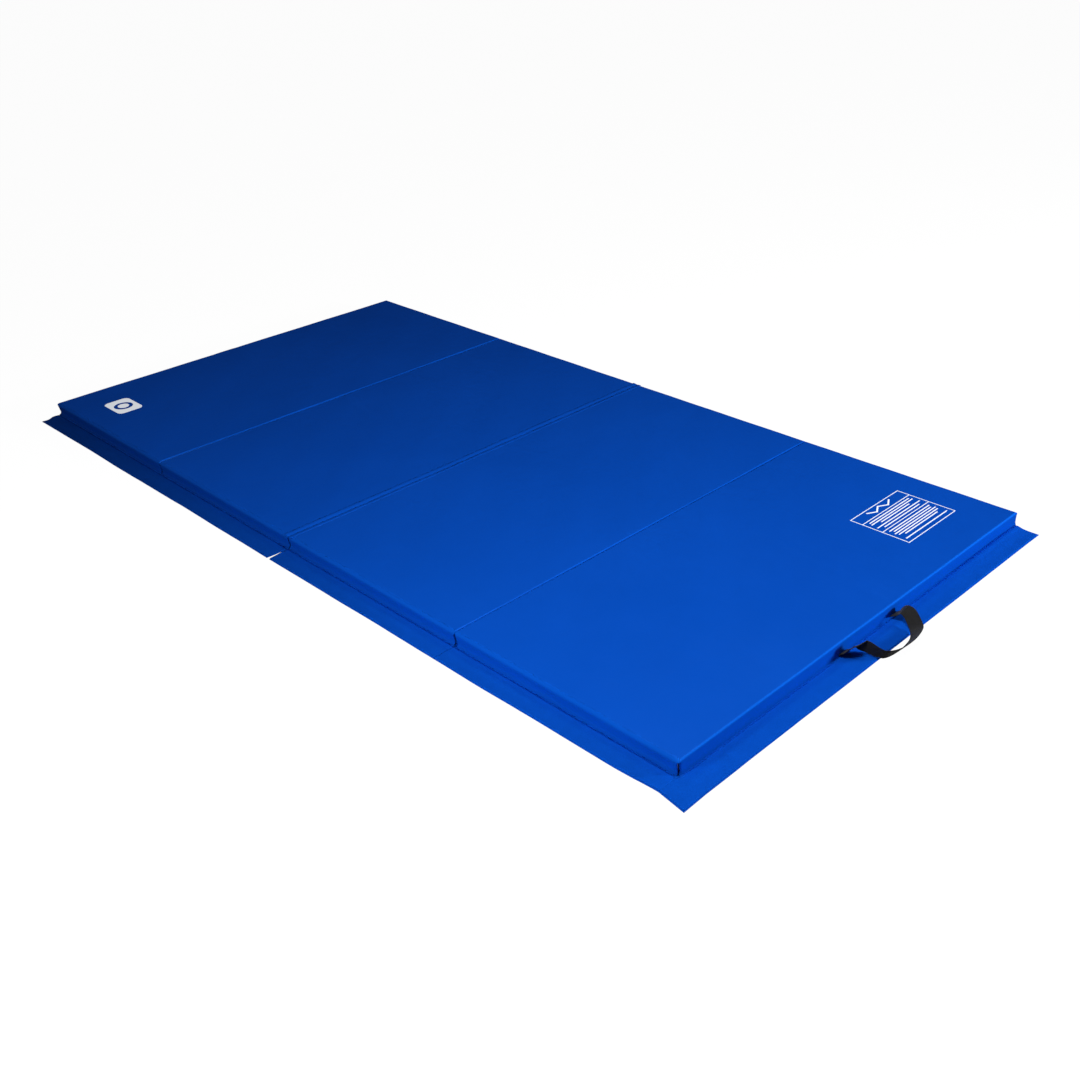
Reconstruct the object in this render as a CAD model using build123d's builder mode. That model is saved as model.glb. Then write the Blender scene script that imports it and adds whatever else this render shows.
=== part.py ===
from build123d import *
import math
import os

# A folding gym mat: four foam panels in sewn vinyl covers, joined by three cloth folds, with
# fastening flaps along two sides, hook strips under the other two, and a webbing handle at each end.
#
# The frame: +X runs along the opened mat to the end with the flap, +Y across it to the side without
# a flap, and +Z up from the floor. The origin is on the floor under the middle of the whole
# footprint, flap and handles included. The mat lies opened flat.
#
# Panels 1 to 4 count along +X. Folds 1 and 3 bend at the floor, so their undersides meet, and
# fold 2 bends at the top, so the mat folds into a zigzag stack.

# Driving dimensions, in millimetres
panel_count = 4
panel_length = 609.6      # along X, two feet
mat_width = 1219.2        # along Y, four feet
mat_height = 36.0         # from the floor to the top face
vinyl = 0.8               # thickness of every cover sheet
fold_gap = 0.8            # between two panels' walls when the mat lies flat
web_reach = 15.0          # each way from the fold line
foam_room = 2.4           # between the foam block and the walls, where the handles' tails lie
foam_corner = 6.0         # radius of the foam block's upright edges
front_flap_width = 58.0
end_flap_width = 64.0
loop_pile = 1.4           # thickness of the loop tape on the flaps
seam_gap = 0.3            # between a flap and the wall that it is sewn to
flap_notch = 5.0          # how far a flap's outer corner stands back from fold 2
hook_width = 50.0         # of the hook strips under the two sides that have no flap
strap_width = 30.0
strap_thickness = 2.0
tail_height = 26.0        # how far a strap's tail runs up inside the wall
print_thickness = 0.2     # of the printed marks

# The loop of each handle, listed along the strap from one tail to the other. Each station has
# its distance out from the wall, its place along the wall, its height, and how far the strap
# leans up on its outer edge there, in degrees. The near handle stands up over the end flap. The
# far one lies low on the floor, and is turned half a turn in plan.
near_route = (
    (0.8, -104, 3.7, 0),
    (9, -103, 11, 12),
    (20, -97, 23, 36),
    (25, -85, 24, 50),
    (31, -76, 20.5, 84),
    (44, -75, 20, 90),
    (60, -75, 18.5, 80),
    (74, -70, 16, 66),
    (83, -54, 15, 58),
    (87.3, -28, 14, 52),
    (87.3, 4, 14, 48),
    (81, 35, 13, 44),
    (68, 60, 11, 28),
    (53, 73, 15, 24),
    (37, 81, 24, 22),
    (21, 84, 25, 14),
    (9, 83, 12, 2),
    (0.8, 83, 3.7, 0),
)
far_route = (
    (0.8, -104, 3.7, 0),
    (6, -104, 10, 2),
    (15, -102, 15, 3),
    (26, -97, 15, -6),
    (38, -88, 11, -14),
    (48, -75, 7, -12),
    (56, -56, 4.5, -4),
    (61, -29, 3.2, 2),
    (62, 1, 3, 3),
    (61, 31, 3.2, 3),
    (55, 58, 4.5, 5),
    (46, 76, 8, 10),
    (34, 84, 12, 14),
    (20, 85, 15, 10),
    (7, 83.5, 10, 2),
    (0.8, 83, 3.7, 0),
)
near_reach = 98.0         # out from the end wall to the near handle's outermost edge
far_reach = 77.0

# The printed badge and the printed care panel: middle from the mat's own middle, and size
badge_place = (-1044, -487)
badge_size = (105, 76)
badge_corner = 16
badge_ring = (27, 16)     # outer and inner radius of the ring that shows through
care_place = (1028, 418)
care_size = (160, 203)
care_line = 2.0           # width of the outline and of the lines across it
care_header = 34          # from the panel's edge to the line under its heading
care_middle = 88          # to the line half-way down
# Each ruled row stands for a line of print: its place from the same edge, and its length
care_rows = (
    (43, 168), (51, 176), (59, 120), (69, 182), (78, 150),
    (98, 172), (106, 160), (114, 176), (122, 168), (130, 140), (144, 178),
)
care_row_width = 3.0
zigzag_step = 24          # of the fold sign in the heading
zigzag_rise = 14

# What follows from them
mat_x = (far_reach - near_reach) / 2
mat_y = front_flap_width / 2
mat_length = panel_count * panel_length
front = mat_y - mat_width / 2
back = mat_y + mat_width / 2
far_end = mat_x - mat_length / 2 + fold_gap / 2
near_end = mat_x + mat_length / 2 - fold_gap / 2
fold_numbers = range(1, panel_count)
top_folds = (2,)
floor_folds = (1, 3)
hook_line = back - hook_width
under_top = mat_height - vinyl

os.makedirs("parts", exist_ok=True)


def write(piece, label):
    """Labels a finished piece and writes it to its own file."""
    piece.part.label = label
    export_step(piece.part, f"parts/{label}.step")
    return piece


def block(x, y, z):
    """A flat-sided piece between the low and high values of x, y and z."""
    with BuildPart() as piece:
        with BuildSketch(Plane.XY.offset(z[0])):
            with Locations(((x[0] + x[1]) / 2, (y[0] + y[1]) / 2)):
                Rectangle(x[1] - x[0], y[1] - y[0])
        extrude(amount=z[1] - z[0])
    return piece


def cut_flat(outline, z):
    """A sheet cut to an outline of corners, between two heights."""
    with BuildPart() as piece:
        with BuildSketch(Plane.XY.offset(z[0])):
            with BuildLine():
                Polyline(*outline, close=True)
            make_face()
        extrude(amount=z[1] - z[0])
    return piece


# Panels: a foam block inside a top sheet, a bottom sheet and four walls

def foam_core(x):
    inset = vinyl + foam_room
    with BuildPart() as foam:
        with BuildSketch(Plane.XY.offset(vinyl)):
            with Locations(((x[0] + x[1]) / 2, mat_y)):
                RectangleRounded(x[1] - x[0] - 2 * inset, mat_width - 2 * inset, foam_corner)
        extrude(amount=under_top - vinyl)
    return foam


def slotted_end_wall(x, outward):
    """The wall at an end of the mat, with a slot for each tail of the handle's strap."""
    slot_height = near_route[0][2]
    with BuildPart() as wall:
        with BuildSketch(Plane.YZ.offset(x[0])):
            with Locations((mat_y, mat_height / 2)):
                Rectangle(mat_width - 2 * vinyl, mat_height - 2 * vinyl)
            with Locations(*[(mat_y + outward * along, slot_height) for along in tail_places]):
                Rectangle(strap_width, strap_thickness, mode=Mode.SUBTRACT)
        extrude(amount=x[1] - x[0])
    return wall


def fold_line(number):
    """The x of a fold. Fold n parts panel n from panel n + 1."""
    return far_end - fold_gap / 2 + number * panel_length


def sheet_reach(number, webbed):
    """The x range of a panel's sheet, which stops short where a fold's web takes over."""
    left_room = web_reach if number - 1 in webbed else fold_gap / 2
    right_room = web_reach if number in webbed else fold_gap / 2
    return fold_line(number - 1) + left_room, fold_line(number) - right_room


tail_places = (near_route[0][1], near_route[-1][1])

for number in range(1, panel_count + 1):
    name = f"panel_{number}"
    left = far_end + (number - 1) * panel_length
    right = left + panel_length - fold_gap
    between = (vinyl, under_top)
    inner = (front + vinyl, back - vinyl)
    write(foam_core((left, right)), f"{name}_foam_core")

    top_x = sheet_reach(number, top_folds)
    write(block(top_x, (front, back), (under_top, mat_height)), f"{name}_top_sheet")
    bottom_x = sheet_reach(number, floor_folds)
    if number == 1:
        bottom_x = (left + hook_width, bottom_x[1])
    write(block(bottom_x, (front, hook_line), (0, vinyl)), f"{name}_bottom_sheet")

    write(block((left, right), (front, front + vinyl), between), f"{name}_front_wall")
    write(block((left, right), (back - vinyl, back), between), f"{name}_back_wall")
    left_wall = (left, left + vinyl)
    right_wall = (right - vinyl, right)
    if number == 1:
        write(slotted_end_wall(left_wall, -1), f"{name}_far_end_wall")
    else:
        write(block(left_wall, inner, between), f"{name}_left_wall")
    if number == panel_count:
        write(slotted_end_wall(right_wall, 1), f"{name}_near_end_wall")
    else:
        write(block(right_wall, inner, between), f"{name}_right_wall")

    hook_x = (left + hook_width if number == 1 else left, right)
    write(block(hook_x, (hook_line, back), (0, vinyl)), f"back_hook_strip_{number}")

write(block((far_end, far_end + hook_width), (front, back), (0, vinyl)), "far_end_hook_strip")


# Folds: the web is the stretch of sheet that runs across from panel to panel and bends

for number in fold_numbers:
    across = (fold_line(number) - web_reach, fold_line(number) + web_reach)
    if number in top_folds:
        web = block(across, (front, back), (under_top, mat_height))
    else:
        web = block(across, (front, hook_line), (0, vinyl))
    write(web, f"fold_{number}_web")


# Flaps: a vinyl strip sewn along the foot of the wall, with loop tape on its upper face. The
# front flap is parted at fold 2. At folds 1 and 3 its stretches lie end to end and bend there.
# The end flap runs on past the front wall and so takes in the corner.

def flap_outline(number):
    """The corners of one panel's stretch of the front flap. At fold 2 the outer corner stands back."""
    left = far_end + (number - 1) * panel_length
    right = left + panel_length - fold_gap
    seam = front - seam_gap
    edge = front - front_flap_width
    left_notch = flap_notch if number == 3 else 0
    right_notch = flap_notch if number == 2 else 0
    return (left, seam), (right, seam), (right - right_notch, edge), (left + left_notch, edge)


flap_layers = (("flap", (0, vinyl)), ("flap_loop_tape", (vinyl, vinyl + loop_pile)))
for layer, heights in flap_layers:
    for number in range(1, panel_count + 1):
        write(cut_flat(flap_outline(number), heights), f"front_{layer}_{number}")
    end_x = (near_end + seam_gap, near_end + end_flap_width)
    write(block(end_x, (front - front_flap_width, back), heights), f"end_{layer}")


# Handles: a loop of webbing that stands out from the end wall, with two tails sewn inside it

def strap_planes(wall_x, outward, route):
    """A plane across the strap at each station of its loop, with its x along the strap's width.

    The run is the direction from the station before to the station after, and straight out
    from the wall at both roots. The width is level and square to the run where the lean is 0,
    and turns about the run by the lean.
    """
    points = [
        Vector(wall_x + outward * out, mat_y + outward * along, up)
        for out, along, up, lean in route
    ]
    last = len(route) - 1
    root_run = {0: Vector(outward, 0, 0), last: Vector(-outward, 0, 0)}
    planes = []
    for n, point in enumerate(points):
        run = root_run.get(n) or points[n + 1] - points[n - 1]
        level = Vector(run.Y, -run.X, 0).normalized()
        upward = run.cross(level).normalized()
        upward = upward if upward.Z > 0 else -upward
        lean = math.radians(route[n][3])
        width = level * math.cos(lean) + upward * math.sin(lean)
        planes.append(Plane(origin=point, x_dir=width, z_dir=run))
    return planes


def strap_loop(planes):
    with BuildPart() as loop:
        for plane in planes:
            with BuildSketch(plane):
                Rectangle(strap_width, strap_thickness)
        loft(ruled=True)
    return loop


def strap_tails(wall_x, outward):
    """Both tails of a strap: each goes in through the wall and turns up between wall and foam."""
    foot = near_route[0][2] - strap_thickness / 2
    face = wall_x - outward * vinyl
    inside = face - outward * strap_thickness
    with BuildPart() as tails:
        for along in tail_places:
            with BuildSketch(Plane.XZ.offset(-(mat_y + outward * along - strap_width / 2))):
                with BuildLine():
                    Polyline(
                        (wall_x, foot),
                        (inside, foot),
                        (inside, foot + tail_height),
                        (face, foot + tail_height),
                        (face, foot + strap_thickness),
                        (wall_x, foot + strap_thickness),
                        close=True,
                    )
                make_face()
            extrude(amount=-strap_width)
    return tails


handles = (("near", near_end, 1, near_route), ("far", far_end, -1, far_route))
for name, wall_x, outward, route in handles:
    planes = strap_planes(wall_x, outward, route)
    loop = write(strap_loop(planes), f"{name}_handle_loop")
    write(strap_tails(wall_x, outward), f"{name}_handle_tails")
    run_length = sum((b.origin - a.origin).length for a, b in zip(planes, planes[1:]))
    plain_volume = run_length * strap_width * strap_thickness
    print(f"{name} loop: length {run_length:.0f}, volume {loop.part.volume:.0f} of {plain_volume:.0f}")


# Printed marks on the top faces: a plain badge with a ring, and a panel of ruled lines and a
# zigzag that shows how the mat folds. Neither has any lettering.

with BuildPart() as badge:
    with BuildSketch(Plane.XY.offset(mat_height)):
        with Locations((mat_x + badge_place[0], mat_y + badge_place[1])):
            RectangleRounded(*badge_size, badge_corner)
            Circle(badge_ring[0], mode=Mode.SUBTRACT)
            Circle(badge_ring[1])
    extrude(amount=print_thickness)
write(badge, "printed_badge")

care_x = mat_x + care_place[0]
care_y = mat_y + care_place[1]
care_edge = care_x - care_size[0] / 2
zigzag = [
    (care_edge + care_header / 2 + zigzag_rise * (step % 2 - 0.5), care_y + (step - 2) * zigzag_step)
    for step in range(panel_count + 1)
]
with BuildPart() as care_panel:
    with BuildSketch(Plane.XY.offset(mat_height)):
        with Locations((care_x, care_y)):
            Rectangle(*care_size)
            Rectangle(care_size[0] - 2 * care_line, care_size[1] - 2 * care_line, mode=Mode.SUBTRACT)
        with Locations((care_edge + care_header, care_y), (care_edge + care_middle, care_y)):
            Rectangle(care_line, care_size[1])
        for place, length in care_rows:
            with Locations((care_edge + place, care_y)):
                Rectangle(care_row_width, length)
        with BuildLine():
            Polyline(*zigzag)
        trace(line_width=2 * care_line)
    extrude(amount=print_thickness)
write(care_panel, "printed_care_panel")
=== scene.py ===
# %% [markdown]
# # A folding gym mat in sewn vinyl
# The mat is four foam panels in one long vinyl cover, with fastening flaps on two sides and a
# webbing handle at each end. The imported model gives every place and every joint. This script
# makes each soft piece round it as a surface worked out with numpy, then gives it a material.

import math

import bmesh
import bpy
import numpy as np
from mathutils import Matrix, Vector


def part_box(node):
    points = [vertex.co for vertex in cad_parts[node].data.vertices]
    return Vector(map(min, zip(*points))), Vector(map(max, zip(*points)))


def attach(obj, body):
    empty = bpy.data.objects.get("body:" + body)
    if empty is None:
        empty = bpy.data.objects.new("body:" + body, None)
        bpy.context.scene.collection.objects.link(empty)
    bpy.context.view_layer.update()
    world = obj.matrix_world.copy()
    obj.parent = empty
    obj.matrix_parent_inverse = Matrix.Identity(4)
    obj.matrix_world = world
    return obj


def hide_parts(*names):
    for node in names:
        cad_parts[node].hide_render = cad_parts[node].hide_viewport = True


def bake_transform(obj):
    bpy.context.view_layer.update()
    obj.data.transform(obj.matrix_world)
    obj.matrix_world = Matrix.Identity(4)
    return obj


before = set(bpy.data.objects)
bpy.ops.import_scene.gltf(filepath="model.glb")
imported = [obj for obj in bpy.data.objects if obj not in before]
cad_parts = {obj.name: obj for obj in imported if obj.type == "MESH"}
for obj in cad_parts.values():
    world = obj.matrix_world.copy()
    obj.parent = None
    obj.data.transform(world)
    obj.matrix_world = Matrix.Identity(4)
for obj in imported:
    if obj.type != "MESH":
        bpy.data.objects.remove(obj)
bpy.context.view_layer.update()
MM = 0.001

# %% [markdown]
# ## Places
# Nothing is measured twice. The outline of each panel comes from its wall nodes, and the floor,
# the top face and the fold lines follow from those.

# %% The panels' outlines and the fold lines
NUMBERS = (1, 2, 3, 4)


def span(node, axis):
    """The lowest and highest place of a node along one axis, 0 for X, 1 for Y and 2 for Z."""
    low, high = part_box(node)
    return low[axis], high[axis]


LEFT = {n: span(f"panel_{n}_front_wall", 0)[0] for n in NUMBERS}
RIGHT = {n: span(f"panel_{n}_front_wall", 0)[1] for n in NUMBERS}
FRONT = span("panel_1_front_wall", 1)[0]
BACK = span("panel_1_back_wall", 1)[1]
TOP = span("panel_1_top_sheet", 2)[1]
FOLD = {n: (RIGHT[n] + LEFT[n + 1]) / 2 for n in (1, 2, 3)}
MIDDLE_X = (LEFT[1] + RIGHT[4]) / 2
MIDDLE_Y = (FRONT + BACK) / 2
print("folds at", [round(x, 4) for x in FOLD.values()], "front and back at", FRONT, BACK)

# %% [markdown]
# ## The camera
# The camera stands off the mat's near corner, at about shoulder height, and is rolled by about
# two degrees. Its lens and shift frame the whole mat.

# %% Camera
CAMERA_AWAY = (2.3275, -1.8894, 1.4452)   # from the middle of the mat, on the floor
CAMERA_TURN = math.radians(44.84)
CAMERA_FALL = math.radians(28.73)
CAMERA_ROLL = math.radians(-1.83)
CAMERA_LENS = 41.19                       # on a sensor 36 mm wide
CAMERA_SHIFT = (-0.0593, -0.0172)

camera_data = bpy.data.cameras.new("camera")
camera_data.sensor_width = 36.0
camera_data.lens = CAMERA_LENS
camera_data.shift_x, camera_data.shift_y = CAMERA_SHIFT
camera_data.clip_end = 200.0
camera = bpy.data.objects.new("camera", camera_data)
bpy.context.scene.collection.objects.link(camera)
place = Matrix.Translation((MIDDLE_X + CAMERA_AWAY[0], MIDDLE_Y + CAMERA_AWAY[1], CAMERA_AWAY[2]))
turn = Matrix.Rotation(CAMERA_TURN, 4, "Z")
fall = Matrix.Rotation(math.pi / 2 - CAMERA_FALL, 4, "X")
roll = Matrix.Rotation(CAMERA_ROLL, 4, "Z")
camera.matrix_world = place @ turn @ fall @ roll
bpy.context.scene.camera = camera
print("camera at", [round(v, 3) for v in camera.matrix_world.translation])

# %% [markdown]
# ## Writing shaders as sums
# A node tree is easier to read as arithmetic. `Field` wraps one socket, and `+`, `-`, `*` on
# fields add the Math nodes. `Recipe` holds a material and adds every other kind of node.

# %% Field and Recipe
class Field:
    """A number that varies over a surface: the output socket of a node in a recipe."""

    def __init__(self, recipe, socket):
        self.recipe = recipe
        self.socket = socket

    def math(self, operation, *others):
        """A Math node with this field as its first value."""
        node = self.recipe.add("ShaderNodeMath", {"operation": operation}, {0: self})
        for place, other in enumerate(others, start=1):
            self.recipe.feed(node.socket.node.inputs[place], other)
        return node

    def __add__(self, other):
        return self.math("ADD", other)

    def __sub__(self, other):
        return self.math("SUBTRACT", other)

    def __mul__(self, other):
        return self.math("MULTIPLY", other)

    def __rsub__(self, other):
        return (self * -1.0) + other

    __radd__ = __add__
    __rmul__ = __mul__

    def sine(self):
        return self.math("SINE")

    def clamp(self):
        return self.math("MINIMUM", 1.0).math("MAXIMUM", 0.0)

    def over(self, edge, soft):
        """From 0 below the edge to 1 above it, in a straight ramp that is soft wide."""
        return ((self - (edge - soft / 2)) * (1.0 / soft)).clamp()


class Recipe:
    """A material on its way to being finished, with its Principled shader ready to be fed."""

    def __init__(self, name):
        self.material = bpy.data.materials.new(name)
        self.material.use_nodes = True
        self.nodes = self.material.node_tree.nodes
        self.links = self.material.node_tree.links
        self.shader = self.nodes["Principled BSDF"]

    def feed(self, socket, value):
        """Gives a socket a plain value, or a link to a field."""
        if isinstance(value, Field):
            self.links.new(value.socket, socket)
        else:
            socket.default_value = value

    def add(self, kind, settings=None, inputs=None, out=0):
        """Any node: its settings first, then its inputs. The field is its socket out."""
        node = self.nodes.new(kind)
        for key, value in (settings or {}).items():
            setattr(node, key, value)
        for key, value in (inputs or {}).items():
            self.feed(node.inputs[key], value)
        return Field(self, node.outputs[out])

    def place(self, source="Object"):
        return self.add("ShaderNodeTexCoord", out=source)

    def attribute(self, name):
        return self.add("ShaderNodeAttribute", {"attribute_name": name}, out="Fac")

    def stretch(self, vector, scale):
        return self.add("ShaderNodeMapping", inputs={"Vector": vector, "Scale": scale})

    def axes(self, vector):
        split = self.add("ShaderNodeSeparateXYZ", inputs={0: vector})
        return [Field(self, socket) for socket in split.socket.node.outputs]

    def noise(self, vector, scale, detail=2.0, roughness=0.5):
        values = {"Vector": vector, "Scale": scale, "Detail": detail, "Roughness": roughness}
        return self.add("ShaderNodeTexNoise", inputs=values)

    def cells(self, vector, scale):
        return self.add("ShaderNodeTexVoronoi", inputs={"Vector": vector, "Scale": scale})

    def blend(self, first, second, share):
        """A colour part of the way from the first to the second."""
        return self.add("ShaderNodeMix", {"data_type": "RGBA"}, {0: share, 6: first, 7: second}, out=2)

    def bump(self, height, distance, below=None):
        """The normal of a relief, over that of another relief if there is one below it."""
        values = {"Height": height, "Distance": distance, "Strength": 1.0}
        if below is not None:
            values["Normal"] = below
        return self.add("ShaderNodeBump", inputs=values)

    def finish(self, **sockets):
        """Feeds the shader, with a name such as Base_Color for the socket Base Color."""
        for name, value in sockets.items():
            self.feed(self.shader.inputs[name.replace("_", " ")], value)
        print("material", self.material.name, "nodes", len(self.nodes))
        return self.material


def colour(red, green, blue):
    return (red, green, blue, 1.0)

# %% [markdown]
# ## Coated vinyl
# The cover is a woven cloth under a coat of soft PVC: a saturated blue with almost no red in it, a
# satin gloss, and a grain of little cells about a millimetre across. One flat blue would look like
# paint, so slow noise mixes two blues, and faster noise stands for the marks of hands and feet.
#
# Where the sheet rolls over an edge it is paler: partly wear, partly a painted highlight, strongest
# on the near end's top edge. A mesh attribute named `wear_and_highlight` says where that is.
# Another, `painted_shade`, holds painted shade in the upright seams' grooves and at the near end's
# foot. A blue coat tints what it mirrors, so the specular tint is blue.

# %% Cover vinyl and flap vinyl
BLUE_GLINT = colour(0.18, 0.50, 1.0)
# Pale blue of worn edges and of the painted highlight laid along them
WEAR_AND_HIGHLIGHT_BLUE = colour(0.0040, 0.175, 0.960)
# Near-black blue of painted shade, in the seams' grooves and at the near end's foot
PAINTED_SHADE_BLUE = colour(0.0004, 0.005, 0.030)


def vinyl(name, deep, pale, gloss):
    """Two blues mixed by noise, paled along edges by wear and a painted highlight, darkened by painted shade,
    over a grain and a slow slackness.
    """
    recipe = Recipe(name)
    here = recipe.place()
    clouds = recipe.noise(here, 2.3, 3.0)
    hands = recipe.noise(here, 14.0, 4.0, 0.6)
    grain = recipe.cells(here, 720.0)
    fine = recipe.noise(here, 1500.0)
    soft = recipe.noise(here, 38.0, 2.0, 0.45)
    # Painted shade: this mark darkens the colour in seam grooves and at the near end's foot, and roughens it
    painted_shade = recipe.attribute("painted_shade")
    share = ((clouds - 0.5) * 0.5 + (hands - 0.5) * 0.22 + 0.27).clamp()
    # Edges paled: partly wear, partly a painted highlight, strongest on the near end's top edge
    edge_wear_and_highlight = recipe.blend(recipe.blend(deep, pale, share), WEAR_AND_HIGHLIGHT_BLUE, recipe.attribute("wear_and_highlight") * 0.4)
    base = recipe.blend(edge_wear_and_highlight, PAINTED_SHADE_BLUE, painted_shade)
    rough = (hands - 0.5) * 0.16 + (clouds - 0.5) * 0.1 + (grain - 0.3) * 0.05 + painted_shade * 0.5 + gloss
    relief = grain.math("MINIMUM", 0.55) * 0.7 + fine * 0.3
    normal = recipe.bump(relief, 0.06 * MM, recipe.bump(soft, 0.6 * MM))
    return recipe.finish(Base_Color=base, Roughness=rough, Normal=normal,
                         Specular_IOR_Level=0.35, Specular_Tint=BLUE_GLINT)


COVER_VINYL = vinyl("cover vinyl", colour(0.0010, 0.074, 0.515), colour(0.0022, 0.098, 0.665), 0.36)
FLAP_VINYL = vinyl("flap vinyl", colour(0.0010, 0.070, 0.490), colour(0.0024, 0.100, 0.660), 0.42)

# %% [markdown]
# ## Loop tape
# Loop tape is a brushed pile, so it has no gloss and a crumbly surface in rows. Little cells are
# its tufts and fine noise is its fuzz. Towards the far end of the mat the pile is darker: painted
# shade, in a slow ramp along X.

# %% Loop tape
# A ramp of painted shade along X, darkest at the far end
FAR_SHADE_PER_METRE = 0.33
FAR_SHADE_AT_MIDDLE = 0.17


def loop_pile():
    recipe = Recipe("loop tape")
    here = recipe.place()
    tufts = recipe.cells(here, 560.0)
    fuzz = recipe.noise(here, 1300.0, 4.0, 0.7)
    patches = recipe.noise(here, 26.0, 3.0, 0.6)
    combed = recipe.noise(recipe.stretch(here, (0.35, 1.0, 1.0)), 110.0)
    east = recipe.axes(here)[0]
    # Painted shade: the pile darkens towards the far end, in a ramp along X
    far_shade = (east * -FAR_SHADE_PER_METRE + FAR_SHADE_AT_MIDDLE).clamp()
    share = (tufts * -0.6 + fuzz * 0.5 + (patches - 0.5) * 0.5 + 0.3).clamp()
    pile_blue = recipe.blend(colour(0.0008, 0.066, 0.465), colour(0.0026, 0.101, 0.680), share)
    base = recipe.blend(pile_blue, colour(0.0004, 0.010, 0.060), far_shade)
    relief = (1.0 - tufts) * 0.6 + fuzz * 0.5 + combed * 0.3
    return recipe.finish(Base_Color=base, Roughness=0.82 + (fuzz - 0.5) * 0.1,
                         Normal=recipe.bump(relief, 0.5 * MM),
                         Specular_IOR_Level=0.12, Specular_Tint=BLUE_GLINT)


LOOP_TAPE = loop_pile()

# %% [markdown]
# ## Hook tape
# Hook tape is a grid of stiff stems. One sine along X times one along Y gives a chequer of bumps,
# which is near enough for a face that lies on the floor.

# %% Hook tape
STEM_PITCH = 1.5 * MM


def hook_stems():
    recipe = Recipe("hook tape")
    east, north = recipe.axes(recipe.place())[:2]
    turns = 2 * math.pi / STEM_PITCH
    stems = ((east * turns).sine() * (north * turns).sine()).over(0.1, 0.5)
    wear = recipe.noise(recipe.place(), 60.0, 3.0)
    share = stems * 0.7 + wear * 0.2
    base = recipe.blend(colour(0.002, 0.010, 0.050), colour(0.006, 0.028, 0.130), share)
    return recipe.finish(Base_Color=base, Roughness=0.55 - stems * 0.15,
                         Normal=recipe.bump(stems, 0.6 * MM))


HOOK_TAPE = hook_stems()

# %% [markdown]
# ## Webbing
# Webbing is woven, so its pattern has to follow the strap round its turns. It reads the UV map,
# which is in metres: ribs across the strap, and yarns that cross them and push them to and fro.

# %% Webbing
RIB_PITCH = 1.9 * MM
YARN_PITCH = 1.3 * MM


def woven_strap():
    recipe = Recipe("webbing")
    along, across = recipe.axes(recipe.place("UV"))[:2]
    warp = (across * (2 * math.pi / YARN_PITCH)).sine()
    weft = (along * (2 * math.pi / RIB_PITCH) + warp * 0.9).sine()
    fibre = recipe.noise(recipe.stretch(recipe.place("UV"), (500.0, 2600.0, 1.0)), 1.0, 3.0)
    relief = weft * 0.35 + warp * 0.3 + fibre * 0.35
    dust = recipe.noise(recipe.place(), 45.0, 4.0, 0.6)
    share = (relief * 0.35 + dust * 0.35).clamp()
    base = recipe.blend(colour(0.0045, 0.0042, 0.0040), colour(0.026, 0.024, 0.022), share)
    return recipe.finish(Base_Color=base, Roughness=0.72 - relief * 0.1,
                         Normal=recipe.bump(relief, 0.5 * MM), Sheen_Weight=0.1)


WEBBING = woven_strap()

# %% [markdown]
# ## Foam and ink
# The foam is hidden in the covers, so pale open cells are enough. The ink is a thin white print.
# It glows a little, because a matt white under these lamps would come out grey.

# %% Foam and ink
def foam_cells():
    recipe = Recipe("foam")
    here = recipe.place()
    bubbles = recipe.cells(here, 420.0)
    stain = recipe.noise(here, 5.0, 3.0)
    base = recipe.blend(colour(0.62, 0.63, 0.60), colour(0.80, 0.81, 0.78), bubbles * 0.6 + stain * 0.4)
    return recipe.finish(Base_Color=base, Roughness=0.85 - bubbles * 0.1,
                         Normal=recipe.bump(bubbles, 0.7 * MM))


def screen_ink():
    recipe = Recipe("printed ink")
    here = recipe.place()
    mottle = recipe.noise(here, 900.0, 3.0)
    thin = recipe.noise(here, 70.0, 4.0, 0.65)
    base = recipe.blend(colour(0.74, 0.79, 0.88), colour(0.92, 0.94, 0.97), (mottle * 0.4 + thin).clamp())
    return recipe.finish(Base_Color=base, Roughness=0.5 + (mottle - 0.5) * 0.2,
                         Normal=recipe.bump(mottle, 0.03 * MM),
                         Emission_Color=colour(0.9, 0.94, 1.0), Emission_Strength=0.35)


FOAM = foam_cells()
INK = screen_ink()

# %% [markdown]
# ## Meshes from arrays
# Every surface below is an array of points. `mesh_piece` writes one into a mesh with
# `foreach_set`, and `grid_faces` numbers the quads of a grid of points.

# %% Mesh helpers
def mesh_piece(name, points, quads, material, body=None, smooth=True):
    """An object named after its piece, made of points (N x 3) and quads (M x 4)."""
    mesh = bpy.data.meshes.new(name)
    mesh.vertices.add(len(points))
    mesh.vertices.foreach_set("co", np.ascontiguousarray(points, dtype=np.float32).ravel())
    mesh.loops.add(quads.size)
    mesh.loops.foreach_set("vertex_index", quads.ravel().astype(np.int32))
    mesh.polygons.add(len(quads))
    mesh.polygons.foreach_set("loop_start", np.arange(0, quads.size, 4, dtype=np.int32))
    mesh.polygons.foreach_set("use_smooth", np.full(len(quads), smooth))
    mesh.update(calc_edges=True)
    mesh.validate()
    mesh.materials.append(material)
    piece = bpy.data.objects.new(name, mesh)
    bpy.context.scene.collection.objects.link(piece)
    if body:
        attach(piece, body)
    print(name, "quads", len(quads))
    return piece


def grid_faces(rows, columns, start=0):
    """The quads of a grid of points numbered row by row, counter-clockwise as rows x columns."""
    corner = start + (np.arange(rows - 1)[:, None] * columns + np.arange(columns - 1)).ravel()
    return np.stack([corner, corner + columns, corner + columns + 1, corner + 1], axis=1)


def face_out(piece):
    """Turns a closed mesh's faces outwards."""
    shape = bmesh.new()
    shape.from_mesh(piece.data)
    bmesh.ops.recalc_face_normals(shape, faces=shape.faces)
    shape.to_mesh(piece.data)
    shape.free()


def add_attribute(piece, name, values):
    """Stores one number for each vertex, for the material to read."""
    layer = piece.data.attributes.new(name, "FLOAT", "POINT")
    layer.data.foreach_set("value", np.ascontiguousarray(values, dtype=np.float32).ravel())


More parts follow.
